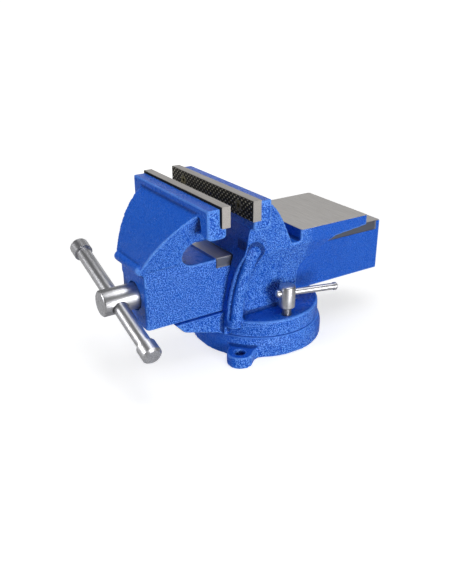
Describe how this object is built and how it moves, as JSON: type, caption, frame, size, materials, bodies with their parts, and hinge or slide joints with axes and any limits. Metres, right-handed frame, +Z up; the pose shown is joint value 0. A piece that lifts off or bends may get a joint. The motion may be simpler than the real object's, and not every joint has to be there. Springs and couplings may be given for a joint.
{
  "type": "bench vise",
  "caption": "Cast bench vise with an anvil: a screw with a sliding bar drives the jaw, and T-handled bolts lock the swivel base, which has bolt lugs.",
  "frame": {"origin": "centre of the underside of the swivel base, on the swivel axis", "axes": "+Z up along the swivel axis; +Y along the lead screw, from the handle to the anvil; +X to the right as seen from the handle"},
  "size_m": [0.1403, 0.2725, 0.1428],
  "materials": {
    "casting_paint": "blue hammertone enamel on cast iron, with bare machined faces",
    "jaw_steel": "ground top and ends, dark knurled gripping face",
    "bright_steel": "turned and lightly oiled",
    "dark_steel": "oiled black oxide",
    "bare_iron": "machined, oiled"
  },
  "bodies": {
    "base": {"swivel_base": "casting_paint"},
    "fixed_jaw": {"fixed_jaw": "casting_paint", "fixed_jaw_plate": "jaw_steel", "fixed_plate_screws": "dark_steel", "lead_screw_nut": "bare_iron", "nut_bolt": "dark_steel", "nut_washer": "dark_steel", "pivot_bolt": "dark_steel", "pivot_washer": "dark_steel", "lock_nut_right": "bare_iron", "lock_nut_left": "bare_iron"},
    "moving_jaw": {"moving_jaw": "casting_paint", "moving_jaw_plate": "jaw_steel", "moving_plate_screws": "dark_steel"},
    "screw": {"lead_screw": "bright_steel", "thrust_washer": "bright_steel", "thrust_collar": "bright_steel", "collar_pin": "dark_steel"},
    "handle": {"handle_bar": "bright_steel", "handle_cap_low": "bright_steel", "handle_cap_high": "bright_steel"},
    "lock_bolt_right": {"lock_bolt_right": "bright_steel"},
    "lock_bar_right": {"lock_bar_right": "bright_steel", "lock_bar_caps_right": "bright_steel"},
    "lock_bolt_left": {"lock_bolt_left": "bright_steel"},
    "lock_bar_left": {"lock_bar_left": "bright_steel", "lock_bar_caps_left": "bright_steel"}
  },
  "joints": [
    {"name": "swivel", "type": "hinge", "parent": "base", "child": "fixed_jaw", "pos_m": [0, 0, 0.0176], "axis": [0, 0, 1], "continuous": true},
    {"name": "jaw_slide", "type": "slide", "parent": "fixed_jaw", "child": "moving_jaw", "axis": [0, 1, 0], "range_m": [-0.1061, 0.01861]},
    {"name": "screw_turn", "type": "hinge", "parent": "moving_jaw", "child": "screw", "pos_m": [0, -0.13535, 0.061], "axis": [0, 1, 0], "range_deg": [-9540, 1674]},
    {"name": "handle_slide", "type": "slide", "parent": "screw", "child": "handle", "axis": [0.9521, 0, -0.3057], "range_m": [-0.0435, 0.053]},
    {"name": "lock_bolt_right_turn", "type": "hinge", "parent": "fixed_jaw", "child": "lock_bolt_right", "pos_m": [0.045, 0, 0.051], "axis": [0, 0, 1], "range_deg": [-10, 30]},
    {"name": "lock_bar_right_slide", "type": "slide", "parent": "lock_bolt_right", "child": "lock_bar_right", "axis": [0.2588, 0.9659, 0], "range_m": [-0.019, 0]},
    {"name": "lock_bolt_left_turn", "type": "hinge", "parent": "fixed_jaw", "child": "lock_bolt_left", "pos_m": [-0.045, 0, 0.051], "axis": [0, 0, 1], "range_deg": [-30, 10]},
    {"name": "lock_bar_left_slide", "type": "slide", "parent": "lock_bolt_left", "child": "lock_bar_left", "axis": [-0.2588, 0.9659, 0], "range_m": [-0.019, 0]}
  ],
  "couplings": [
    {"joint": "jaw_slide", "follows": "screw_turn", "m_per_rad": 0.00063662}
  ]
}
